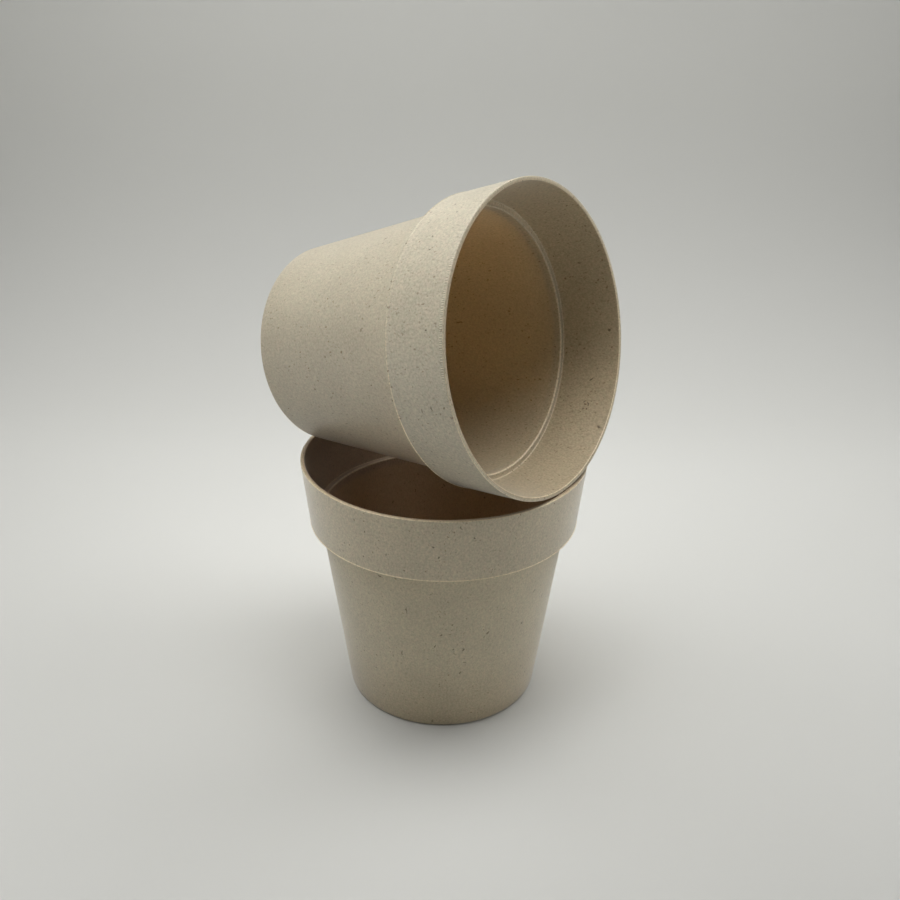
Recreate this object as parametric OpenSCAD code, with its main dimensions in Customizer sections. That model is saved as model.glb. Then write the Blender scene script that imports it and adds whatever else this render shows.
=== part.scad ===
// Pair of plant pots moulded from plant fibre: one stands, and its twin lies across the rim.
// The origin is the centre of the standing pot's foot. The lying pot points along +X.

/* [Pot] */
// Height of one pot
pot_h = 91.5; // [70:0.5:130]
// Outer diameter at the top of the rim
rim_d = 100; // [85:1:140]
// Outer diameter of the foot
foot_d = 69.5; // [55:0.5:84]

/* [Collar] */
// Height of the turned-out collar
collar_h = 23; // [14:1:34]
// How much the collar narrows on each side, from the rim to its lower edge
collar_draft = 2.5; // [1:0.1:4]
// How far the collar's lower edge stands out past the body
collar_step = 3.6; // [2.5:0.1:5]
// Width of the ledge inside, at the foot of the collar
ledge_w = 2.1; // [1:0.1:3]
// Thickness between the collar's lower edge and the ledge above it
ledge_t = 2.6; // [1.5:0.1:4]

/* [Walls] */
// Thickness of the rim
rim_wall = 1.4; // [1:0.1:2.5]
// Thickness of the body, measured level
body_wall = 1.3; // [1:0.1:2.5]
// Thickness of the floor
floor_t = 2.4; // [1.8:0.1:4]

/* [Foot and drainage] */
// Width of the ring that the pot stands on
foot_ring_w = 6.5; // [5:0.5:9]
// Diameter of the flat disc in the middle of the foot
foot_disc_d = 24; // [16:1:28]
// Depth of the recess between the ring and the disc
recess_depth = 0.8; // [0.4:0.1:1.2]
// Diameter of each drain hole in the recess
drain_d = 6; // [3:0.5:8]
// Number of drain holes
drain_count = 5; // [3:1:7]

/* [Rounded edges] */
// Rounding of the rim's two edges
rim_round = 0.3; // [0.2:0.1:0.7]
// Rounding of the collar's lower edge
collar_round = 0.3; // [0.2:0.1:1]
// Rounding of the corner where the body meets the collar
neck_round = 0.8; // [0.2:0.1:1.2]
// Rounding of the ledge's inner edge
ledge_round = 0.4; // [0.2:0.1:0.9]
// Rounding of the corner between the ledge and the collar
ledge_corner_round = 0.3; // [0.2:0.1:0.9]
// Rounding of the foot's outer edge
foot_round = 1.4; // [0.5:0.1:2]
// Rounding of the corner between the wall and the floor, inside
floor_round = 4; // [1:0.5:8]

/* [Lying pot] */
// How far the lying pot's foot lies behind the standing pot's axis
lying_back = 51.5; // [40:0.5:58]
// Gap left under the lying pot where it rests on the rim
seat_gap = 0.2; // [0.1:0.05:0.4]

/* [Hidden] */
$fn = 180;
corner_steps = 6;
cut_overrun = 1;

rim_r = rim_d / 2;
foot_r = foot_d / 2;
collar_z = pot_h - collar_h;
collar_foot_r = rim_r - collar_draft;
neck_r = collar_foot_r - collar_step;
body_taper = (neck_r - foot_r) / collar_z;
ledge_z = collar_z + ledge_t;
ledge_inner_r = neck_r + body_taper * ledge_t - body_wall;
ledge_outer_r = ledge_inner_r + ledge_w;
floor_inner_r = foot_r + body_taper * floor_t - body_wall;
foot_disc_r = foot_disc_d / 2;
recess_r = foot_r - foot_ring_w;
drain_ring_r = (foot_disc_r + recess_r) / 2;

// Limits of the search for the lying pot's tilt, in degrees, and its number of halvings
least_tilt = -20;
most_tilt = 50;
tilt_halvings = 20;
// Each pass of the search along the rim looks at this many places, then closes in on the best
rim_places = 12;
rim_passes = 4;
// A height above everything, for a plumb line that misses
miss = 10 * (pot_h + rim_d);

// Outline of the wall from the axis out, up the outside and down the inside: [radius, height, rounding]
wall_outline = [
    [0, 0, 0],
    [foot_r, 0, foot_round],
    [neck_r, collar_z, neck_round],
    [collar_foot_r, collar_z, collar_round],
    [rim_r, pot_h, rim_round],
    [rim_r - rim_wall, pot_h, rim_round],
    [ledge_outer_r, ledge_z, ledge_corner_round],
    [ledge_inner_r, ledge_z, ledge_round],
    [floor_inner_r, floor_t, floor_round],
    [0, floor_t, 0]
];

function level(corner) = [corner[0], corner[1]];
function unit(v) = v / norm(v);

// Arc that rounds the corner b between a and c. Its radius shrinks where the edges are short.
function rounded_corner(a, b, c, radius) =
    let (
        to_a = unit(a - b),
        to_c = unit(c - b),
        half = acos(to_a * to_c) / 2,
        run = min(radius / tan(half), norm(a - b) / 2, norm(c - b) / 2),
        r = run * tan(half),
        centre = b + unit(to_a + to_c) * r / sin(half),
        from_centre = b + to_a * run - centre,
        start = atan2(from_centre.y, from_centre.x),
        turn = (to_a.x * to_c.y < to_a.y * to_c.x ? 1 : -1) * (180 - 2 * half)
    )
    [
        for (i = [0 : corner_steps])
            let (angle = start + turn * i / corner_steps)
            centre + r * [cos(angle), sin(angle)]
    ];

function rounded(outline) = [
    for (i = [0 : len(outline) - 1])
        let (
            before = level(outline[max(i - 1, 0)]),
            here = level(outline[i]),
            after = level(outline[min(i + 1, len(outline) - 1)])
        )
        each (outline[i][2] == 0 ? [here] : rounded_corner(before, here, after, outline[i][2]))
];

// The pot's outside as rings from foot to mouth: [distance along the axis, radius]
outside = [[0, 0], [0, foot_r], [collar_z, neck_r], [collar_z, collar_foot_r], [pot_h, rim_r], [pot_h, 0]];

// A plumb line stands u along X and v along Y from the lying pot's foot centre. This is the
// height at which it first meets the face between two rings, for a pot tilted mouth upwards.
function plumb_face(u, v, tilt, a, b) =
    a[0] == b[0] ? plumb_flat(u, v, tilt, a[0], min(a[1], b[1]), max(a[1], b[1]))
                 : plumb_cone(u, v, tilt, a, b);

function plumb_flat(u, v, tilt, along, inner_r, outer_r) =
    sin(tilt) == 0 ? miss :
    let (
        height = (along - u * cos(tilt)) / sin(tilt),
        r = norm([height * cos(tilt) - u * sin(tilt), v])
    )
    r < inner_r || r > outer_r ? miss : height;

function plumb_cone(u, v, tilt, a, b) =
    let (
        slope = (b[1] - a[1]) / (b[0] - a[0]),
        r = a[1] + slope * (u * cos(tilt) - a[0]),
        qa = cos(tilt) ^ 2 - (slope * sin(tilt)) ^ 2,
        qb = -2 * sin(tilt) * (u * cos(tilt) + slope * r),
        qc = (u * sin(tilt)) ^ 2 + v ^ 2 - r ^ 2,
        inner = qb ^ 2 - 4 * qa * qc,
        height = (-qb - sqrt(max(inner, 0))) / (2 * qa),
        along = u * cos(tilt) + height * sin(tilt)
    )
    inner < 0 || along < a[0] || along > b[0] ? miss : height;

function plumb(u, v, tilt) =
    min([for (i = [1 : len(outside) - 1]) plumb_face(u, v, tilt, outside[i - 1], outside[i])]);

// Height that the lying pot's foot centre needs to clear one place on the standing pot's rim
function needed_at(angle, tilt) =
    max([
        for (r = [rim_r - rim_wall, rim_r - rim_wall / 2, rim_r])
            pot_h - plumb(r * cos(angle) + lying_back, r * sin(angle), tilt)
    ]);

// The most that any place on the rim needs between two angles round it
function needed(low, high, tilt, passes = rim_passes) =
    let (
        step = (high - low) / rim_places,
        angles = [for (i = [0 : rim_places]) low + step * i],
        heights = [for (angle = angles) needed_at(angle, tilt)],
        best = max(heights),
        angle = angles[search(best, heights)[0]]
    )
    passes == 1 ? best : needed(max(low, angle - step), min(high, angle + step), tilt, passes - 1);

function needed_behind(tilt) = needed(90, 180, tilt);
function needed_in_front(tilt) = needed(0, 90, tilt);

// Tilt at which the lying pot rests both on its foot's edge behind and on its mouth in front
function resting_tilt(low, high, halvings) =
    let (middle = (low + high) / 2)
    halvings == 0 ? middle :
    needed_behind(middle) < needed_in_front(middle)
        ? resting_tilt(middle, high, halvings - 1)
        : resting_tilt(low, middle, halvings - 1);

lying_tilt = resting_tilt(least_tilt, most_tilt, tilt_halvings);
lying_z = max(needed_behind(lying_tilt), needed_in_front(lying_tilt)) + seat_gap;

module drain_holes() {
    for (i = [0 : drain_count - 1])
        rotate(360 / drain_count * i)
            translate([drain_ring_r, 0, -cut_overrun])
                cylinder(d = drain_d, h = floor_t + 2 * cut_overrun);
}

module foot_recess() {
    rotate_extrude()
        translate([foot_disc_r, -cut_overrun])
            square([recess_r - foot_disc_r, recess_depth + cut_overrun]);
}

module pot() {
    difference() {
        rotate_extrude()
            polygon(rounded(wall_outline));
        foot_recess();
        drain_holes();
    }
}

module standing_pot() {
    color("#a39a86")
        pot();
}

module lying_pot() {
    color("#cfc6b0")
        translate([-lying_back, 0, lying_z])
            rotate([0, 90 - lying_tilt, 0])
                pot();
}

standing_pot();
lying_pot();
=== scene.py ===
# %% [markdown]
# # Two speckled plant-fibre pots
# Each pot is one moulding of ground plant fibre in resin: a tapered body, a turned-out collar,
# a ledge inside and a flat foot with drain holes. One pot stands and its twin lies across the
# rim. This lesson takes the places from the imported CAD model, turns one outline into a smooth
# pot, lays the twin where the CAD model has it, and spends most of its effort on the finish.

# %% Load the CAD model
import math

import bmesh
import bpy
import numpy as np
from mathutils import Matrix, Vector, noise


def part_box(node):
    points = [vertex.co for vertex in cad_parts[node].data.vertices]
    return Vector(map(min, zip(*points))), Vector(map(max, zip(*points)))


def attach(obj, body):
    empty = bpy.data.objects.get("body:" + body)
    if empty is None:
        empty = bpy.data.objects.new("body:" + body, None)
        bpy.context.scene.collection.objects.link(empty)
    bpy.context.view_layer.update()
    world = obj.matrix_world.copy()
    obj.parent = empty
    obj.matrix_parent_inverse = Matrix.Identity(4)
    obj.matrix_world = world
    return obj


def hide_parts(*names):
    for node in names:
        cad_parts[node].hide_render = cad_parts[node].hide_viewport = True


MM = 0.001
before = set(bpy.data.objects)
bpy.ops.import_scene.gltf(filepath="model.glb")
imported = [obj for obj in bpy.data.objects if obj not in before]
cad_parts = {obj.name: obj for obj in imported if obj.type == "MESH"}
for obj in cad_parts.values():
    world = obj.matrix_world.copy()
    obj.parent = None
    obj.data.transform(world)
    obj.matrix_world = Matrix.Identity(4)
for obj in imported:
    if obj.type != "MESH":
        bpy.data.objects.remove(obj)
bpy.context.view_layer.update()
standing_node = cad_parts["standing_pot"]
lying_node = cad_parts["lying_pot"]

# %% [markdown]
# ## Where each pot is
# Both CAD nodes are the same round solid, so its place can be read from its surface: the mean
# of the surface lies on the axis, and the surface spreads differently along the axis than
# across it. Comparing the lying pot with the standing one gives its tilt and the place of its
# foot, and nothing here has to be typed in.


# %% Read a pot's axis from its surface
def surface_mean_and_spread(node):
    """Area-weighted mean and covariance of a node's triangles."""
    mesh = node.data
    mesh.calc_loop_triangles()
    centres = np.array([t.center for t in mesh.loop_triangles])
    areas = np.array([t.area for t in mesh.loop_triangles])
    mean = areas @ centres / areas.sum()
    offsets = centres - mean
    return mean, (offsets * areas[:, None]).T @ offsets / areas.sum()


standing_mean, _ = surface_mean_and_spread(standing_node)
lying_mean, lying_spread = surface_mean_and_spread(lying_node)
spreads, directions = np.linalg.eigh(lying_spread)
odd_one = 0 if spreads[1] - spreads[0] > spreads[2] - spreads[1] else 2
lying_axis = Vector(directions[:, odd_one])
lying_axis *= math.copysign(1, lying_axis.x)
lying_turn = math.atan2(lying_axis.x, lying_axis.z)
lying_foot = Vector(lying_mean) - lying_axis * float(standing_mean[2])
print(f"lying pot: tilted {90 - math.degrees(lying_turn):.2f} degrees, foot at {lying_foot}")

# %% [markdown]
# ## The outline of the wall
# A pot of revolution is a single line, from the centre of the foot out and up the outside,
# over the rim, and down the inside to the middle of the floor. The heights and radii are real
# sizes in millimetres. A crisp moulding still has small radii on its edges, and these catch
# the light; together with a highlight painted on them in the material, they make the thin
# bright lines at the collar and the ledge.

# %% Real sizes of one pot, in millimetres
lowest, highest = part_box("standing_pot")
pot_h = (highest.z - lowest.z) / MM
rim_r = (highest.x - lowest.x) / 2 / MM
collar_h = 23.0
collar_z = pot_h - collar_h
collar_foot_r = rim_r - 2.5
neck_r = collar_foot_r - 3.6
foot_r = 34.75
rim_wall = 1.4
body_wall = 1.3
floor_t = 2.4
ledge_t = 2.6
ledge_w = 2.1
body_taper = (neck_r - foot_r) / collar_z
ledge_z = collar_z + ledge_t
ledge_inner_r = neck_r + body_taper * ledge_t - body_wall
floor_inner_r = foot_r + body_taper * floor_t - body_wall
foot_ring_w = 6.5
foot_disc_r = 12.0
recess_depth = 0.8
drain_r = 3.0
drain_count = 5
drain_ring_r = (foot_disc_r + foot_r - foot_ring_w) / 2
print(f"one pot: {pot_h:.1f} mm high, {2 * rim_r:.1f} mm across the rim")

# %% [markdown]
# ## From an outline to a shell
# The outline's corners are vertices of one flat face. Bevelling a vertex of a face rounds that
# corner, each with its own radius. The long straight runs are cut into short ones, so that the
# wall can later be given the slight waviness of a real moulding. Then the face goes, the line
# stays, and a full spin about the pot's axis makes the shell.

# %% Thin trim that the CAD model leaves out, in millimetres
gate_r = 2.2
gate_depth = 0.35
gate_slope = 0.4
nub_r = 0.9
nub_z = gate_depth * 0.4
nub_slope = 0.2
dimple_depth = 0.2
dimple_slope = 0.5
flash_out = 0.18
flash_t = 0.14
flash_fade = flash_out * 0.2
bead_w = 0.7
bead_top_w = bead_w * 0.8
bead_h = 0.12
recess_r = foot_r - foot_ring_w
ledge_outer_r = ledge_inner_r + ledge_w
print(f"flash line stands out {flash_out} mm, bead stands up {bead_h} mm, gate is {gate_depth} mm deep")

# %% Outline corners: radius, height and rounding in millimetres
outline = [
    (0, nub_z, 0),
    (nub_r, nub_z, 0.15),
    (nub_r + nub_slope, gate_depth, 0.1),
    (gate_r, gate_depth, 0.15),
    (gate_r + gate_slope, 0, 0.2),
    (foot_disc_r, 0, 0.3),
    (foot_disc_r, recess_depth, 0.25),
    (recess_r, recess_depth, 0.25),
    (recess_r, 0, 0.3),
    (foot_r, 0, 1.4),
    (neck_r, collar_z, 0.8),
    (collar_foot_r + flash_out, collar_z, 0.05),
    (collar_foot_r + flash_out, collar_z + flash_t, 0.05),
    (collar_foot_r + flash_fade, collar_z + 2 * flash_t, 0.1),
    (rim_r, pot_h, 0.3),
    (rim_r - rim_wall, pot_h, 0.3),
    (ledge_outer_r, ledge_z, 0.3),
    (ledge_inner_r + bead_w, ledge_z, 0.08),
    (ledge_inner_r + bead_top_w, ledge_z + bead_h, 0.06),
    (ledge_inner_r, ledge_z + bead_h, 0.3),
    (floor_inner_r, floor_t, 4.0),
    (gate_r, floor_t, 0.3),
    (gate_r - dimple_slope, floor_t - dimple_depth, 0.2),
    (0, floor_t - dimple_depth, 0),
]
print("outline corners:", len(outline))

# %% Round the corners and cut the long runs short
CORNER_SEGMENTS = 6
MOST_OF_AN_EDGE = 0.48
LONGEST_RUN = 2.0
SAME_PLACE = 1e-7


def rounded_outline():
    """A bmesh that holds the outline as one chain of edges, in metres, in the XZ plane."""
    bm = bmesh.new()
    corners = [bm.verts.new((r * MM, 0, z * MM)) for r, z, _ in outline]
    bm.faces.new(corners)
    for corner, (_, _, rounding) in zip(corners, outline):
        if not rounding:
            continue
        a, b = (e.other_vert(corner).co - corner.co for e in corner.link_edges)
        run = rounding * MM / math.tan(a.angle(b) / 2)
        run = min(run, MOST_OF_AN_EDGE * a.length, MOST_OF_AN_EDGE * b.length)
        bmesh.ops.bevel(
            bm, geom=[corner], offset=run, affect="VERTICES", segments=CORNER_SEGMENTS,
            profile=0.5, material=-1, offset_type="OFFSET",
        )
    bmesh.ops.delete(bm, geom=bm.faces[:], context="FACES_ONLY")
    on_axis = [e for e in bm.edges if all(v.co.x < SAME_PLACE for v in e.verts)]
    bmesh.ops.delete(bm, geom=on_axis, context="EDGES")
    for edge in [e for e in bm.edges if e.calc_length() > LONGEST_RUN * MM]:
        cuts = int(edge.calc_length() / (LONGEST_RUN * MM))
        bmesh.ops.subdivide_edges(bm, edges=[edge], cuts=cuts)
    return bm


rounded = rounded_outline()
print("rounded outline:", len(rounded.edges), "edges")

# %% Spin the outline into a closed shell
STEPS_ROUND = 256
MIRROR_REACH = 1e-6


def spun_shell(bm):
    """Spins a quarter and mirrors it: a closed shell, foot down, with its faces pointing outwards."""
    bmesh.ops.spin(
        bm, geom=bm.verts[:] + bm.edges[:], cent=(0, 0, 0), axis=(0, 0, 1),
        angle=math.pi / 2, steps=STEPS_ROUND // 4,
    )
    for axis in "XY":
        everything = bm.verts[:] + bm.edges[:] + bm.faces[:]
        bmesh.ops.mirror(bm, geom=everything, merge_dist=MIRROR_REACH, axis=axis)
    bmesh.ops.remove_doubles(bm, verts=bm.verts[:], dist=SAME_PLACE)
    bmesh.ops.recalc_face_normals(bm, faces=bm.faces[:])
    return bm


shell = spun_shell(rounded)
open_edges = sum(not e.is_manifold for e in shell.edges)
volume = shell.calc_volume() / MM**3
print(f"shell: {len(shell.faces)} faces, {open_edges} open edges, {volume:.0f} mm3")

# %% [markdown]
# ## Drain holes
# Each hole is cut by a cylinder that widens a little at both ends, because a moulded hole has
# a soft edge. The cutters are a mesh of their own and a Boolean modifier subtracts them. Its
# result is read back as a plain mesh, so that nothing is left live on the piece.

# %% Cutters for the drain holes
HOLE_EDGE = 0.35
HOLE_SIDES = 48
OVERRUN = 1.0


def drain_cutters():
    """Spun cutters, one for each drain hole, as one mesh."""
    bm = bmesh.new()
    ends = [
        (0, -OVERRUN), (drain_r + HOLE_EDGE, -OVERRUN), (drain_r + HOLE_EDGE, recess_depth),
        (drain_r, recess_depth + HOLE_EDGE), (drain_r, floor_t - HOLE_EDGE),
        (drain_r + HOLE_EDGE, floor_t), (drain_r + HOLE_EDGE, floor_t + OVERRUN), (0, floor_t + OVERRUN),
    ]
    line = [bm.verts.new((r * MM, 0, z * MM)) for r, z in ends]
    for a, b in zip(line, line[1:]):
        bm.edges.new((a, b))
    bmesh.ops.spin(
        bm, geom=bm.verts[:] + bm.edges[:], cent=(0, 0, 0), axis=(0, 0, 1),
        angle=2 * math.pi, steps=HOLE_SIDES, use_merge=True,
    )
    bmesh.ops.remove_doubles(bm, verts=bm.verts[:], dist=SAME_PLACE)
    bmesh.ops.translate(bm, verts=bm.verts[:], vec=(drain_ring_r * MM, 0, 0))
    first = bm.verts[:] + bm.edges[:] + bm.faces[:]
    for i in range(1, drain_count):
        copy = bmesh.ops.duplicate(bm, geom=first)["geom"]
        verts = [v for v in copy if isinstance(v, bmesh.types.BMVert)]
        turn = Matrix.Rotation(2 * math.pi * i / drain_count, 4, "Z")
        bmesh.ops.transform(bm, matrix=turn, verts=verts)
    bmesh.ops.recalc_face_normals(bm, faces=bm.faces[:])
    return bm


cutters = drain_cutters()
print("cutters:", drain_count, "with", len(cutters.faces), "faces")


# %% Cut the holes and keep the result as a mesh
def as_object(bm, name):
    """Turns a bmesh into an object at the origin."""
    mesh = bpy.data.meshes.new(name)
    bm.to_mesh(mesh)
    bm.free()
    made = bpy.data.objects.new(name, mesh)
    bpy.context.scene.collection.objects.link(made)
    return made


def cut(body, cutter):
    """The mesh of body with cutter taken away. Both objects are removed."""
    boolean = body.modifiers.new("drain_holes", "BOOLEAN")
    boolean.operation = "DIFFERENCE"
    boolean.solver = "EXACT"
    boolean.object = cutter
    depsgraph = bpy.context.evaluated_depsgraph_get()
    result = bpy.data.meshes.new_from_object(body.evaluated_get(depsgraph))
    for spent in (body, cutter):
        bpy.data.objects.remove(spent)
    return result


pot_mesh = cut(as_object(shell, "shell"), as_object(cutters, "cutters"))
print(f"with {drain_count} drain holes: {len(pot_mesh.polygons)} faces")

# %% [markdown]
# ## The two pots
# A moulding shrinks unevenly as it cools, so no real pot is a perfect cone: the wall wanders
# by a few hundredths of a millimetre. Smooth noise moves each vertex along its radius by that
# much, with another seed for each pot, so that reflections bend slightly and differently.

# %% Give each pot its waviness and set it where the CAD model has it
WAVE_DEPTH = 0.06
WAVE_LENGTH = 28.0
SMOOTH_BELOW = math.radians(35)
lying_place = Matrix.Translation(lying_foot) @ Matrix.Rotation(lying_turn, 4, "Y")


def finished_pot(name, node, body, place, seed):
    """One pot as a piece that replaces its CAD node."""
    bm = bmesh.new()
    bm.from_mesh(pot_mesh)
    for v in bm.verts:
        outwards = Vector((v.co.x, v.co.y, 0))
        if outwards.length < foot_disc_r * MM:
            continue
        wave = noise.noise(v.co / (WAVE_LENGTH * MM) + Vector((seed, seed, seed)))
        v.co += outwards.normalized() * wave * WAVE_DEPTH * MM
    bmesh.ops.transform(bm, matrix=place, verts=bm.verts[:])
    pot = as_object(bm, name)
    pot.data.shade_smooth()
    pot.data.set_sharp_from_angle(angle=SMOOTH_BELOW)
    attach(pot, body)
    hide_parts(node)
    return pot


standing = finished_pot("standing_pot_moulding", "standing_pot", "standing", Matrix.Identity(4), seed=3.7)
lying = finished_pot("lying_pot_moulding", "lying_pot", "lying", lying_place, seed=11.3)
for pot in (standing, lying):
    print(pot.name, "has", len(pot.data.polygons), "faces")

# %% [markdown]
# ## Colours and nodes
# Colours are easiest to pick as the hex values that a paint chart or a photo editor shows.
# Those are sRGB, and Blender's nodes want linear light, so one function turns them. Another
# adds a node, sets its options and fills or links its sockets, which keeps a material short.

# %% Helpers for materials
def linear(hex_colour):
    """An sRGB colour such as "c8bfa9" as linear RGBA, by the curve that the sRGB standard gives."""
    parts = [int(hex_colour[i : i + 2], 16) / 255 for i in (0, 2, 4)]
    return [p / 12.92 if p <= 0.04045 else ((p + 0.055) / 1.055) ** 2.4 for p in parts] + [1.0]


def add(tree, kind, inputs, output=None, **settings):
    """Adds a node, fills or links its inputs by name or number, and returns one of its outputs."""
    node = tree.nodes.new("ShaderNode" + kind)
    for name, value in settings.items():
        setattr(node, name, value)
    for key, value in inputs.items():
        named = [i for i in node.inputs if i.enabled and i.name == key]
        socket = named[0] if named else node.inputs[key]
        if isinstance(value, bpy.types.NodeSocket):
            tree.links.new(value, socket)
        else:
            socket.default_value = value
    if output:
        return node.outputs[output]
    return next((o for o in node.outputs if o.enabled), None)


print("mid grey 808080 in linear light:", round(linear("808080")[0], 3))

# %% [markdown]
# ## Moulded plant fibre
# The material is bamboo or husk powder bound with resin and pressed or injected into a
# polished mould. To the eye it is a warm beige with a satin skin, fine mottling, and flecks of
# darker fibre that didn't grind down. Every pattern is a solid one in the pot's own space, so
# it needs no seam and runs through the wall as it does in the real material. The patterns are
# stretched along the pot's axis, which is the way the melt flows from the foot to the rim.

# %% Real sizes of the speckles, in millimetres
CLOUD_SIZE = 16.0
CLUSTER_SIZE = 9.0
TINT_SIZE = 1.4
MOTTLE_SIZE = 0.6
PEEL_SIZE = 0.8
WARP_SIZE = 0.9
WARP_DEPTH = 0.5
FLOW_STRETCH = 1.3
FIBRE_STRETCH = 5.0
LEAN_ACROSS = 0.6
SPECKLES = [
    # gap, radius in gaps, share of cells, strength, stretch, lean of the flow, colour
    (0.95, 0.27, 0.90, 0.75, FLOW_STRETCH, 0.15, "b4a28f"),
    (1.90, 0.19, 0.75, 0.95, FLOW_STRETCH, 0.35, "8f765f"),
    (4.60, 0.10, 0.60, 1.00, 1.3, -0.3, "4a3a2c"),
    (2.60, 0.10, 0.55, 0.95, FIBRE_STRETCH, 0.5, "6e5a45"),
    (2.90, 0.09, 0.55, 0.95, FIBRE_STRETCH, 1.4, "6b5744"),
]
# Husk specks come last. Their strength is each pot's own: gap, radius in gaps, share of cells
HUSK_SPECKS = (1.60, 0.24, 0.80)
HUSK_STRETCH = 2.0
HUSK_LEAN = 0.25
HUSK_COLOUR = "85614a"
print("layers of flecks, with their gaps in mm:", [layer[0] for layer in SPECKLES])

# %% How far each noise changes the colour
BEIGES = ("c6c2aa", "cac1ab")
TINT_MIX = {"From Min": 0.3, "From Max": 0.7}
CLOUD_SHADE = {"From Min": 0.3, "From Max": 0.7, "To Min": 0.95, "To Max": 1.05}
MOTTLE_NOISE = {"From Min": 0.2, "From Max": 0.8}
CROWDING = {"From Min": 0.35, "From Max": 0.65, "To Min": 0.45, "To Max": 1.2}
FLOW_LEAN = (0.1, 0.2, 0)
NOISE_MIDDLE = (0.5, 0.5, 0.5)
print("the two beiges:", BEIGES)

# %% [markdown]
# ## Flecks that the eye picks out
# A few husks are long enough to be seen one by one. Each is a small stretched ball of dark
# stain at the skin, at a height and an angle round the pot, so it is cut off by the surface as a
# real fibre is. A painted picture could do this too, but a ball needs no unwrapped surface.

# %% Flecks large enough to be seen one by one
STEP_RISE = 0.01
OUTSIDE_FACE = ([0, collar_z, collar_z + STEP_RISE, pot_h], [foot_r, neck_r, collar_foot_r, rim_r])
INSIDE_FACE = ([floor_t, ledge_z, ledge_z + STEP_RISE, pot_h],
               [floor_inner_r, ledge_inner_r, ledge_outer_r, rim_r - rim_wall])
STANDING_FLECKS = [
    # face, height up the pot, degrees round it, length, width, degrees of lean from the pot's axis
    (OUTSIDE_FACE, 52.5, -70, 2.6, 0.40, 8),
    (OUTSIDE_FACE, 42.0, -31, 1.3, 0.55, -30),
    (OUTSIDE_FACE, 40.5, -33, 0.9, 0.35, -40),
    (OUTSIDE_FACE, 43.0, -54, 1.0, 0.50, -40),
    (OUTSIDE_FACE, 38.0, -57, 1.7, 0.40, -15),
    (OUTSIDE_FACE, 36.0, -43, 1.4, 0.40, -20),
    (OUTSIDE_FACE, 36.5, -48, 0.7, 0.45, 0),
    (OUTSIDE_FACE, 33.0, -74, 2.4, 0.35, -12),
    (OUTSIDE_FACE, 30.0, -42, 1.0, 0.35, 80),
    (OUTSIDE_FACE, 25.5, -44, 0.9, 0.45, 0),
    (OUTSIDE_FACE, 64.5, -82, 1.3, 0.55, 60),
    (OUTSIDE_FACE, 83.5, -84, 0.7, 0.55, 0),
    (OUTSIDE_FACE, 78.0, -55, 0.7, 0.50, 0),
    (OUTSIDE_FACE, 85.0, -42, 0.9, 0.45, 60),
    (OUTSIDE_FACE, 82.0, -57, 1.1, 0.40, 70),
]
LYING_FLECKS = [
    (INSIDE_FACE, 30.5, 87, 3.0, 0.60, 5),
    (INSIDE_FACE, 88.0, 80, 1.0, 0.80, 0),
    (INSIDE_FACE, 83.0, 48, 1.8, 0.35, 60),
    (INSIDE_FACE, 89.5, 38, 1.5, 0.70, 20),
    (INSIDE_FACE, 82.5, 59, 1.5, 0.40, -40),
    (INSIDE_FACE, 79.0, 126, 0.8, 0.45, 30),
    (OUTSIDE_FACE, 83.5, -82, 1.5, 0.35, 85),
    (OUTSIDE_FACE, 79.5, -81, 1.2, 0.40, 95),
    (OUTSIDE_FACE, 64.0, -129, 1.0, 0.50, 80),
    (OUTSIDE_FACE, 64.0, -81, 0.8, 0.55, 0),
    (OUTSIDE_FACE, 53.5, -110, 1.1, 0.45, 90),
    (OUTSIDE_FACE, 76.0, -63, 0.8, 0.60, 0),
    (OUTSIDE_FACE, 27.0, -82, 0.9, 0.50, 10),
    (OUTSIDE_FACE, 56.0, -87, 0.8, 0.45, 40),
]
FLECK_COLOUR = "4a3927"
print("large flecks:", len(STANDING_FLECKS), "and", len(LYING_FLECKS))

# %% One large fleck
FLECK_DEPTH = 0.5
FLECK_WIDTH_SHARE = 0.6
FLECK_LENGTH_SHARE = 0.55
FLECK_FADE = {"From Min": 1.25, "From Max": 0.6, "To Max": 0.8}


def large_fleck(tree, warped, fleck):
    """Fades in inside one long fleck that lies in the skin."""
    (heights, radii), height, around, length, width, lean = fleck
    around = math.radians(around)
    radius = float(np.interp(height, heights, radii))
    centre = (radius * math.cos(around), radius * math.sin(around), height)
    facing = Matrix.Rotation(around, 3, "Z") @ Matrix.Rotation(math.radians(lean), 3, "X")
    half_size = (FLECK_DEPTH, width * FLECK_WIDTH_SHARE, length * FLECK_LENGTH_SHARE)
    inside = add(tree, "Mapping", {"Vector": warped, "Location": centre, "Rotation": facing.to_euler(),
                                   "Scale": half_size}, vector_type="TEXTURE")
    distance = add(tree, "VectorMath", {0: inside}, operation="LENGTH")
    return add(tree, "MapRange", {"Value": distance, **FLECK_FADE})


longest = max(fleck[3] for fleck in STANDING_FLECKS + LYING_FLECKS)
print("longest fleck:", longest, "mm")

# %% [markdown]
# ## Small specks
# The ground fibre shows as thousands of specks. A Voronoi texture gives each cell one point, and
# the distance to it makes a spot. The colour that the same node gives each cell is a free random
# number: it leaves some cells empty and makes the others strong or faint.

# %% Scattered specks
SPOT_CORE = 0.4


def specks(tree, where, gap, radius, share):
    """Spots about gap apart and radius gaps large, in a share of the cells, each of its own strength."""
    distance = add(tree, "TexVoronoi", {"Vector": where, "Scale": 1 / gap})
    chance = add(tree, "SeparateColor", {"Color": distance.node.outputs["Color"]})
    spot = add(tree, "MapRange", {"Value": distance, "From Min": radius,
                                  "From Max": radius * SPOT_CORE},
               interpolation_type="SMOOTHSTEP")
    kept = add(tree, "MapRange", {"Value": chance, "From Min": 1 - share, "From Max": 1.0})
    return add(tree, "Math", {0: spot, 1: kept}, operation="MULTIPLY")


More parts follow.
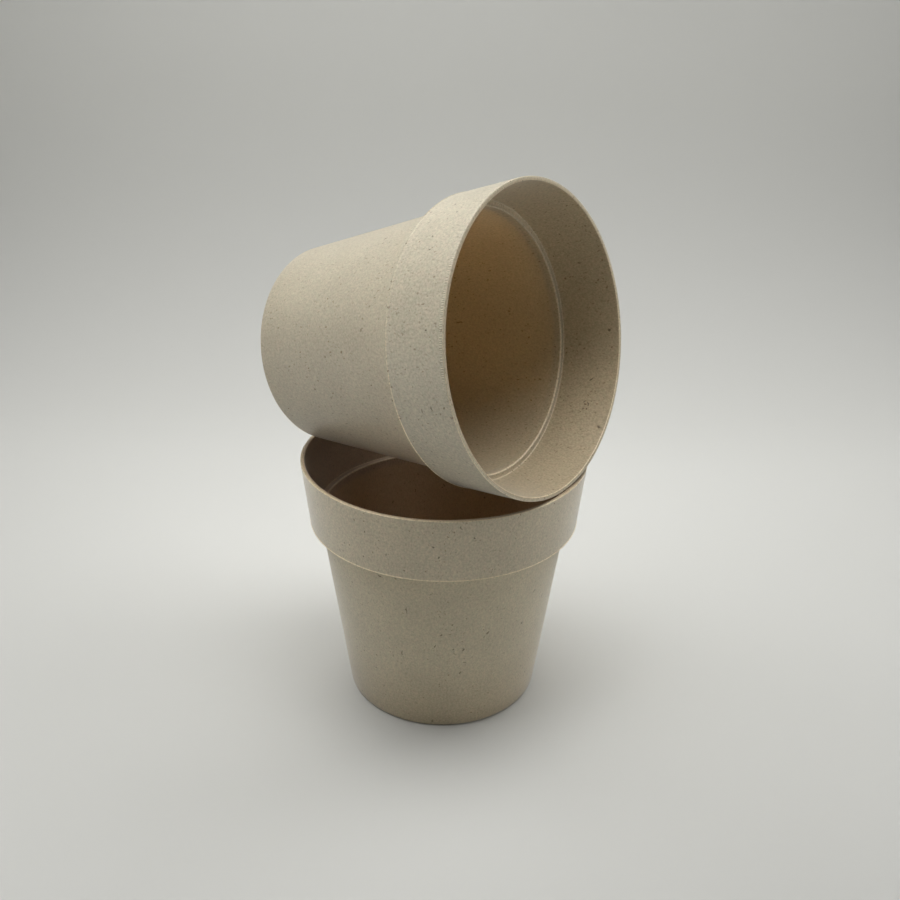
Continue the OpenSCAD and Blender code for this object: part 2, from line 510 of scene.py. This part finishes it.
for gap, radius, *_ in SPECKLES:
    print(f"specks {gap} mm apart are up to {2 * radius * gap:.1f} mm wide")

# %% [markdown]
# ## The colour of the fibre
# The ground colour is two close beiges, shaded by large soft clouds and by a fine grain. The
# specks are then laid over it like stains, layer by layer, each multiplied in, because a dark
# fibre in the resin takes light away and never adds any. Warped coordinates give their outlines
# the ragged edge of torn fibre.

# %% Stains, clouds, grain and specks
def stained(tree, colour, amount, stain):
    """Colour with a stain over it where amount is above 0."""
    return add(tree, "Mix", {"Factor": amount, "A": colour, "B": linear(stain)},
               data_type="RGBA", blend_type="MULTIPLY")


def fibre_colour(tree, local, flecks, husk, grain, seed):
    """Mottled and flecked beige, on coordinates in millimetres."""
    flow = add(tree, "Mapping", {"Vector": local, "Location": (seed, seed, 0), "Rotation": FLOW_LEAN,
                                 "Scale": (1, 1, FLOW_STRETCH)}, vector_type="TEXTURE")
    tint = add(tree, "TexNoise", {"Vector": flow, "Scale": 1 / TINT_SIZE, "Detail": 1})
    tint = add(tree, "MapRange", {"Value": tint, **TINT_MIX})
    first, second = (linear(beige) for beige in BEIGES)
    colour = add(tree, "Mix", {"Factor": tint, "A": first, "B": second}, data_type="RGBA")
    cloud = add(tree, "TexNoise", {"Vector": local, "Scale": 1 / CLOUD_SIZE, "Detail": 2})
    cloud = add(tree, "MapRange", {"Value": cloud, **CLOUD_SHADE})
    mottle = add(tree, "TexNoise", {"Vector": flow, "Scale": 1 / MOTTLE_SIZE, "Detail": 2})
    mottle = add(tree, "MapRange", {"Value": mottle, **MOTTLE_NOISE, "To Min": 1 - grain,
                                    "To Max": 1 + grain})
    shade = add(tree, "Math", {0: cloud, 1: mottle}, operation="MULTIPLY")
    colour = add(tree, "VectorMath", {0: colour, "Scale": shade}, operation="SCALE")

    wander = add(tree, "TexNoise", {"Vector": local, "Scale": 1 / WARP_SIZE, "Detail": 1}, output="Color")
    wander = add(tree, "VectorMath", {0: wander, 1: NOISE_MIDDLE}, operation="SUBTRACT")
    wander = add(tree, "VectorMath", {0: wander, "Scale": 2 * WARP_DEPTH}, operation="SCALE")
    warped = add(tree, "VectorMath", {0: local, 1: wander}, operation="ADD")
    crowd = add(tree, "TexNoise", {"Vector": flow, "Scale": 1 / CLUSTER_SIZE, "Detail": 1})
    crowd = add(tree, "MapRange", {"Value": crowd, **CROWDING})
    layers = SPECKLES + [(*HUSK_SPECKS, husk, HUSK_STRETCH, HUSK_LEAN, HUSK_COLOUR)]
    for i, (gap, radius, share, strength, stretch, lean, stain) in enumerate(layers):
        where = add(tree, "Mapping", {"Vector": warped, "Location": (seed + i, seed - 3 * i, i),
                                      "Rotation": (lean, -lean * LEAN_ACROSS, 0),
                                      "Scale": (1, 1, stretch)},
                    vector_type="TEXTURE")
        amount = specks(tree, where, gap, radius, share)
        amount = add(tree, "Math", {0: amount, 1: strength}, operation="MULTIPLY")
        amount = add(tree, "Math", {0: amount, 1: crowd}, operation="MULTIPLY", use_clamp=True)
        colour = stained(tree, colour, amount, stain)
    for fleck in flecks:
        colour = stained(tree, colour, large_fleck(tree, warped, fleck), FLECK_COLOUR)
    return colour, mottle


print("layers in the material:", len(SPECKLES) + 1, "and the large flecks")

# %% [markdown]
# ## Painted edge highlights and tool marks
# On a thin edge, light catches and scatters in from both sides, so the rim, the flash line and
# the bead look brighter than the wall. A rendered wall doesn't do this on its own, so a highlight
# is painted in: the colour is brightened within a fraction of a millimetre of each edge, found by
# its radius and height. On the lying pot this painted highlight fades towards the top side and is
# strongest on the lower side, and the mould has left fine marks across a part of the rim's outer face.

# %% Painted highlights on the crisp edges
PAINTED_EDGE_LIGHT = [
    # radius, height, half width of the line, strength of the painted highlight
    (rim_r, pot_h, 0.28, 0.40), (rim_r - rim_wall, pot_h, 0.28, 0.30),
    (collar_foot_r + flash_out, collar_z, 0.52, 0.55),
    (ledge_inner_r, ledge_z + bead_h, 0.55, 0.30), (ledge_outer_r, ledge_z, 0.32, 0.20),
]
EDGE_CORE = 0.5


def painted_edge_highlights(tree, z, radius):
    """Painted highlight along the crisp edges, for light that catches and scatters through them."""
    profile = add(tree, "CombineXYZ", {"X": radius, "Z": z})
    painted_highlight = 0.0
    for edge_r, edge_z, half, gain in PAINTED_EDGE_LIGHT:
        away = add(tree, "VectorMath", {0: profile, 1: (edge_r, 0, edge_z)}, operation="DISTANCE")
        line = add(tree, "MapRange", {"Value": away, "From Min": half, "From Max": half * EDGE_CORE,
                                      "To Max": gain})
        painted_highlight = add(tree, "Math", {0: line, 1: painted_highlight}, operation="MAXIMUM")
    return painted_highlight


print("pale edges:", len(PAINTED_EDGE_LIGHT))

# %% Fine marks across the rim
TICK_PERIOD = 0.65
TICK_GAIN = 0.35
TICK_WANDER = 8.0
TICK_WANDER_SCALE = 20.0
# Where the marks are, each as low end, high end and the width over which they fade
TICK_HEIGHTS = (pot_h - 1.15, pot_h - 0.45, 0.25)
TICK_RADII = (rim_r - 0.7, rim_r + 1, 0.2)
TICK_ARC = (math.radians(-41), math.radians(-4), 0.08)


def band(tree, value, low, high, edge):
    """1 where value lies between low and high, fading out over edge."""
    over = add(tree, "MapRange", {"Value": value, "From Min": low - edge, "From Max": low})
    under = add(tree, "MapRange", {"Value": value, "From Min": high + edge, "From Max": high})
    return add(tree, "Math", {0: over, 1: under}, operation="MULTIPLY")


def tick_marks(tree, x, y, z, radius):
    """Fine light marks across the rim's outer face. Their angle is 0 where y is lowest."""
    behind = add(tree, "Math", {0: y, 1: -1.0}, operation="MULTIPLY")
    angle = add(tree, "Math", {0: x, 1: behind}, operation="ARCTAN2")
    wander = add(tree, "TexNoise", {"W": angle, "Scale": TICK_WANDER_SCALE, "Detail": 0},
                 noise_dimensions="1D")
    phase = add(tree, "Math", {0: angle, 1: 2 * math.pi * rim_r / TICK_PERIOD}, operation="MULTIPLY")
    phase = add(tree, "Math", {0: wander, 1: TICK_WANDER, 2: phase}, operation="MULTIPLY_ADD")
    ticks = add(tree, "Math", {0: phase}, operation="SINE")
    ticks = add(tree, "Math", {0: ticks, 1: TICK_GAIN}, operation="MULTIPLY")
    for value, limits in ((z, TICK_HEIGHTS), (angle, TICK_ARC), (radius, TICK_RADII)):
        ticks = add(tree, "Math", {0: ticks, 1: band(tree, value, *limits)}, operation="MULTIPLY")
    return ticks


print(f"marks are {TICK_PERIOD} mm apart, over {rim_r * (TICK_ARC[1] - TICK_ARC[0]):.0f} mm of the rim")

# %% [markdown]
# ## Inside and outside
# The inside of these pots is painted darker and browner than the outside: this is painted shade
# for the little light that gets inside, much stronger on the standing pot. A second material on
# the inner faces would leave a hard line at the rim. The pattern is solid and runs through the
# wall, so the same material can tell the two sides apart: it works out the middle line of the wall
# at each height and compares the radius with it.

# %% The core side of the wall
CORE_FADE = {"From Min": -0.2, "From Max": 0.3}


def core_side(tree, z, radius):
    """1 on the inside of the pot and 0 on the outside, from the middle line of the wall."""
    foot_middle = foot_r - body_wall / 2
    neck_middle = neck_r - body_wall / 2
    ledge_middle = (collar_foot_r + ledge_outer_r) / 2
    rim_middle = rim_r - rim_wall / 2
    middle = add(tree, "MapRange", {"Value": z, "From Min": 0, "From Max": collar_z,
                                    "To Min": foot_middle, "To Max": neck_middle})
    for low, high, wider in ((collar_z, ledge_z, ledge_middle - neck_middle),
                             (ledge_z, pot_h, rim_middle - ledge_middle)):
        more = add(tree, "MapRange", {"Value": z, "From Min": low, "From Max": high, "To Max": wider})
        middle = add(tree, "Math", {0: middle, 1: more}, operation="ADD")
    depth = add(tree, "Math", {0: middle, 1: radius}, operation="SUBTRACT")
    return add(tree, "MapRange", {"Value": depth, **CORE_FADE})


print(f"middle line of the wall at the rim: {rim_r - rim_wall / 2:.1f} mm")

# %% [markdown]
# ## The finish as a whole
# The skin is satin: a polished mould gives it a soft gloss, and ground fibre at the surface
# breaks that up with a faint peel and scatters a little light at grazing angles, which a soft
# sheen stands for. The wall is thin enough for light to come through, warm like tea, and the
# thicker collar lets hardly any through. The two pots are the same moulding, but their tones,
# grain and husk specks differ a little, so these are matched to the photograph one by one. Each
# pot also has its own painted shade inside and towards the foot, much stronger on the standing pot.

# %% Values of the finish, with sizes in millimetres
FIBRE_IOR = 1.54
SHEEN_ROUGHNESS = 0.45
SATIN = {"From Min": 0.3, "From Max": 0.7, "To Min": 0.36, "To Max": 0.48}
BUMP_STRENGTH = 0.35
BUMP_DEPTH = 0.03
THROUGH_COLLAR = 0.04
THROUGH_COLOUR = "f3ce89"
RIM_TONE = "f8f4ec"
# Where one tone gives way to the next, up the pot; near the foot the tone is painted shade
BODY_TO_COLLAR = {"From Min": collar_z - 1.0, "From Max": collar_z + 0.8}
TO_FOOT_SHADE = {"From Min": 30.0, "From Max": 0.0}
TO_RIM = {"From Min": pot_h - 0.2, "From Max": pot_h - 0.05}
# Painted edge highlights take the painted inside shade off the edges, and on the lying pot these painted
# highlights fade on its top side and are strongest on its lower side
HIGHLIGHT_OVER_INSIDE_SHADE = -2.0
EDGE_LIGHT_BY_SIDE = {"From Min": -0.8, "From Max": 0.3, "To Min": 0.1, "To Max": 2.0}
print("index of refraction of the resin:", FIBRE_IOR)


# %% The fibre finish
def plant_fibre(name, foot, turn, flecks, ticks, husk, grain, through_body, body_tone, foot_shade_tone,
                collar_tone, inside_shade_tone, sheen, seed):
    """Speckled beige composite, with its pattern fixed to a pot that stands at foot."""
    material = bpy.data.materials.new(name)
    material.use_nodes = True
    tree = material.node_tree
    tree.nodes.clear()
    place = add(tree, "TexCoord", {}, output="Object")
    metres = add(tree, "Mapping", {"Vector": place, "Location": foot, "Rotation": (0, turn, 0)},
                 vector_type="TEXTURE")
    local = add(tree, "VectorMath", {0: metres, "Scale": 1 / MM}, operation="SCALE")
    x, y, z = add(tree, "SeparateXYZ", {"Vector": local}).node.outputs
    radius = add(tree, "VectorMath", {0: add(tree, "CombineXYZ", {"X": x, "Y": y})}, operation="LENGTH")

    colour, mottle = fibre_colour(tree, local, flecks, husk, grain, seed)
    thick = add(tree, "MapRange", {"Value": z, **BODY_TO_COLLAR})
    # Painted highlight along the crisp edges: rim, flash line and ledge bead
    painted_highlight = painted_edge_highlights(tree, z, radius)
    # Painted shade over the inside of the pot, kept off the painted edge highlights
    inside_shade = add(tree, "Math", {0: painted_highlight, 1: HIGHLIGHT_OVER_INSIDE_SHADE, 2: core_side(tree, z, radius)},
               operation="MULTIPLY_ADD", use_clamp=True)
    colour = stained(tree, colour, inside_shade, inside_shade_tone)
    tone = add(tree, "Mix", {"Factor": thick, "A": linear(body_tone), "B": linear(collar_tone)},
               data_type="RGBA")
    colour = add(tree, "Mix", {"Factor": 1.0, "A": colour, "B": tone}, data_type="RGBA",
                 blend_type="MULTIPLY")
    # Painted shade: darker towards the foot, where the pot stands in the shade near the floor
    painted_foot_shade = add(tree, "MapRange", {"Value": z, **TO_FOOT_SHADE})
    colour = stained(tree, colour, painted_foot_shade, foot_shade_tone)
    rim = add(tree, "MapRange", {"Value": z, **TO_RIM})
    colour = stained(tree, colour, rim, RIM_TONE)
    # The painted edge highlight brightens the colour; on the lying pot it is weighted by side, and the
    # mould's real marks are added
    edge_light_and_marks = add(tree, "Math", {0: painted_highlight, 1: 1.0}, operation="ADD")
    peel = add(tree, "TexNoise", {"Vector": local, "Scale": 1 / PEEL_SIZE, "Detail": 2})
    height = add(tree, "Math", {0: peel, 1: mottle}, operation="ADD")
    if ticks:
        # Painted light by side: on the lying pot the edge highlights fade on the top side and are
        # strongest on the lower side
        side = add(tree, "Math", {0: x, 1: radius}, operation="DIVIDE")
        edge_light_by_side = add(tree, "MapRange", {"Value": side, **EDGE_LIGHT_BY_SIDE})
        edge_light_and_marks = add(tree, "Math", {0: painted_highlight, 1: edge_light_by_side, 2: 1.0}, operation="MULTIPLY_ADD")
        marks = tick_marks(tree, x, y, z, radius)
        edge_light_and_marks = add(tree, "Math", {0: edge_light_and_marks, 1: marks}, operation="ADD")
        height = add(tree, "Math", {0: height, 1: marks}, operation="ADD")
    colour = add(tree, "VectorMath", {0: colour, "Scale": edge_light_and_marks}, operation="SCALE")
    rough = add(tree, "MapRange", {"Value": peel, **SATIN})
    bump = add(tree, "Bump", {"Height": height, "Strength": BUMP_STRENGTH, "Distance": BUMP_DEPTH * MM})
    skin = add(tree, "BsdfPrincipled", {"Base Color": colour, "Roughness": rough, "IOR": FIBRE_IOR,
                                        "Sheen Weight": sheen, "Sheen Roughness": SHEEN_ROUGHNESS,
                                        "Normal": bump})
    glow = add(tree, "BsdfTranslucent", {"Color": linear(THROUGH_COLOUR), "Normal": bump})
    through = add(tree, "MapRange", {"Value": thick, "To Min": through_body, "To Max": THROUGH_COLLAR})
    shader = add(tree, "MixShader", {0: through, 1: skin, 2: glow})
    add(tree, "OutputMaterial", {"Surface": shader})
    return material


# The inside and foot tones of each pot are painted shade, much darker on the standing pot
standing.data.materials.append(plant_fibre(
    "plant_fibre_standing", (0, 0, 0), 0, STANDING_FLECKS,
    ticks=False, husk=0.12, grain=0.24, through_body=0.14, body_tone="fff9f0", foot_shade_tone="ece6df",
    collar_tone="f9f1ea", inside_shade_tone="d5c3bc", sheen=0.5, seed=17.0))
lying.data.materials.append(plant_fibre(
    "plant_fibre_lying", lying_foot, lying_turn, LYING_FLECKS,
    ticks=True, husk=0.8, grain=0.28, through_body=0.22, body_tone="f4f4f5", foot_shade_tone="fbfaf9",
    collar_tone="ece8e6", inside_shade_tone="f7eee1", sheen=0.3, seed=61.0))
print("materials:", [m.name for m in bpy.data.materials])

# %% [markdown]
# ## Floor and backdrop
# The pots stand on a sheet of pale paper that curves up behind them, as in a small light box.
# The curve has no corner, so the eye finds no line where the floor ends. One line, drawn from the
# front edge over the bend to the top of the wall, is extruded sideways and turned square to the
# camera.

# %% The paper sweep, in metres
FLOOR_HALF = 1.5
BEND_START = 0.23
BEND_R = 0.17
BEND_SEGMENTS = 48
WALL_TOP = 1.2
view_azimuth = 0.6328


def paper_sweep():
    """A floor that bends up into a wall, behind the pots as the camera sees them."""
    bm = bmesh.new()
    places = [(-FLOOR_HALF, 0), (BEND_START, 0)]
    for i in range(1, BEND_SEGMENTS + 1):
        a = math.pi / 2 * i / BEND_SEGMENTS
        places.append((BEND_START + BEND_R * math.sin(a), BEND_R * (1 - math.cos(a))))
    places.append((BEND_START + BEND_R, WALL_TOP))
    line = [bm.verts.new((-FLOOR_HALF, back, up)) for back, up in places]
    edges = [bm.edges.new(pair) for pair in zip(line, line[1:])]
    made = bmesh.ops.extrude_edge_only(bm, edges=edges)["geom"]
    moved = [v for v in made if isinstance(v, bmesh.types.BMVert)]
    bmesh.ops.translate(bm, verts=moved, vec=(2 * FLOOR_HALF, 0, 0))
    bmesh.ops.recalc_face_normals(bm, faces=bm.faces[:])
    turn = Matrix.Rotation(view_azimuth, 3, "Z")
    bmesh.ops.rotate(bm, verts=bm.verts[:], cent=(0, 0, 0), matrix=turn)
    sweep = as_object(bm, "paper_sweep")
    sweep.data.shade_smooth()
    return sweep


sweep = paper_sweep()
print("paper sweep:", len(sweep.data.polygons), "faces")

# %% Matte paper, which scatters light evenly and has hardly any gloss
PAPER_ROUGHNESS = 0.9
paper = bpy.data.materials.new("matte_paper")
paper.use_nodes = True
paper_shader = paper.node_tree.nodes["Principled BSDF"]
paper_shader.inputs["Base Color"].default_value = linear("cdcdc9")
paper_shader.inputs["Roughness"].default_value = PAPER_ROUGHNESS
sweep.data.materials.append(paper)
print("on stage:", sweep.name, "of", paper.name)

# %% [markdown]
# ## Light
# The photograph was taken in soft light from above, with bright paper all around. The room
# itself adds only a little light. A camera that looks past the paper would see it as nearly
# black, so a Light Path node gives camera rays a plain pale tone, which lights nothing.

# %% The room
ROOM_GLOW = 0.2
world = bpy.data.worlds.new("studio")
bpy.context.scene.world = world
world.use_nodes = True
room = world.node_tree
surroundings = add(room, "Background", {"Color": linear("c8c8c4"), "Strength": ROOM_GLOW})
seen_paper = add(room, "Background", {"Color": linear("b6b6b2"), "Strength": 1.0})
camera_ray = add(room, "LightPath", {}, output="Is Camera Ray")
backdrop = add(room, "MixShader", {0: camera_ray, 1: surroundings, 2: seen_paper})
room.links.new(backdrop, room.nodes["World Output"].inputs["Surface"])
print("the room lights with a strength of", ROOM_GLOW)

# %% [markdown]
# ## Soft boxes
# Each soft box is a rectangle of light. A wide one near the pots gives soft shading and a broad,
# dim gloss. A box with a narrow spread, as with a grid in front, lights only the floor below it.
# Their places and powers come from rendering each box alone and finding the mixture that
# matches the brightness of the floor, the backdrop and the pots.


# %% A soft box
def area_light(name, place, facing, size, watts, spread):
    """A soft box at place that faces down or to one side, with its light kept within spread degrees."""
    data = bpy.data.lights.new(name, "AREA")
    data.shape = "RECTANGLE"
    data.size, data.size_y = size
    data.energy = watts
    data.spread = math.radians(spread)
    lamp = bpy.data.objects.new(name, data)
    lamp.visible_camera = False
    lamp.location = place
    tip = {"down": 0, "right": math.pi / 2, "left": -math.pi / 2}[facing]
    lamp.rotation_euler = (0, -tip, view_azimuth)
    bpy.context.scene.collection.objects.link(lamp)


to_right = Vector((math.cos(view_azimuth), math.sin(view_azimuth), 0))
to_back = Vector((-math.sin(view_azimuth), math.cos(view_azimuth), 0))
to_top = Vector((0, 0, 1))


def seen_at(right, back, up):
    """A place given as the camera sees it, from the standing pot's foot."""
    return to_right * right + to_back * back + to_top * up


print("the camera's right, in the scene:", [round(part, 2) for part in to_right])

# %% Soft boxes over the pots and beside them, and others that light the paper
SOFT_BOXES = [
    # name, place as seen (right, back, up), where it faces, width and depth in metres, spread, watts
    ("top_right", (0.20, 0.05, 0.42), "down", (0.20, 0.17), 180, 0.57),
    ("top_left", (-0.20, 0.05, 0.42), "down", (0.20, 0.17), 180, 0.48),
    ("top_left_front", (-0.20, -0.12, 0.42), "down", (0.20, 0.17), 180, 0.35),
    ("top_back", (-0.06, 0.22, 0.42), "down", (0.30, 0.17), 180, 0.25),
    ("ceiling_right", (0.30, 0.10, 0.60), "down", (0.30, 0.30), 180, 0.22),
    ("left_side", (-0.42, -0.12, 0.35), "right", (0.27, 0.22), 180, 0.20),
    ("left_low", (-0.42, -0.12, 0.12), "right", (0.27, 0.22), 180, 0.04),
    ("right_low", (0.42, -0.12, 0.12), "left", (0.27, 0.22), 180, 0.32),
    ("right_back", (0.42, 0.15, 0.25), "left", (0.27, 0.22), 180, 0.13),
    ("overhead", (0.0, 0.0, 0.50), "down", (0.25, 0.20), 60, 0.12),
    ("floor_left", (-0.65, -0.25, 0.45), "down", (0.50, 0.50), 60, 2.14),
    ("floor_left_front", (-0.45, -0.45, 0.45), "down", (0.50, 0.50), 60, 0.48),
    ("floor_back", (0.0, 0.22, 0.30), "down", (1.00, 0.10), 90, 0.21),
    ("far_front", (0.0, -1.10, 0.80), "down", (2.20, 0.80), 60, 3.0),
    ("far_right", (1.10, -0.20, 0.80), "down", (0.80, 1.40), 60, 1.8),
    ("far_left", (-1.20, -0.20, 0.80), "down", (0.60, 1.40), 60, 1.0),
]
for name, place, facing, size, spread, watts in SOFT_BOXES:
    area_light(name, seen_at(*place), facing, size, watts, spread)
print("soft boxes:", len(SOFT_BOXES), "with", round(sum(box[-1] for box in SOFT_BOXES), 2), "W")

# %% [markdown]
# ## Camera
# The camera's place, tilt and focal length were found by fitting a pinhole camera to the
# outlines of both pots in the photograph. A camera fitted in pixels becomes one in millimetres
# when its focal length is divided by the picture's width and multiplied by the sensor's.

# %% The fitted camera, with angles in radians
PHOTO_WIDTH = 900
FOCAL_PIXELS = 1020.91
SENSOR_WIDTH = 36
camera_around = 0.6391
camera_out = 323.59 * MM
camera_up = 243.38 * MM
camera_dip = 0.4362
camera_roll = 0.0119
camera_data = bpy.data.cameras.new("camera")
camera_data.sensor_width = SENSOR_WIDTH
camera_data.lens = FOCAL_PIXELS / PHOTO_WIDTH * SENSOR_WIDTH
camera = bpy.data.objects.new("camera", camera_data)
camera.location = (camera_out * math.sin(camera_around), -camera_out * math.cos(camera_around), camera_up)
camera.rotation_euler = (
    Matrix.Rotation(view_azimuth, 3, "Z")
    @ Matrix.Rotation(math.pi / 2 - camera_dip, 3, "X")
    @ Matrix.Rotation(camera_roll, 3, "Z")
).to_euler()
bpy.context.scene.collection.objects.link(camera)
bpy.context.scene.camera = camera
bpy.context.scene.view_settings.view_transform = "Standard"
print(f"camera: {camera_data.lens:.1f} mm lens, {camera_up / MM:.0f} mm above the floor")
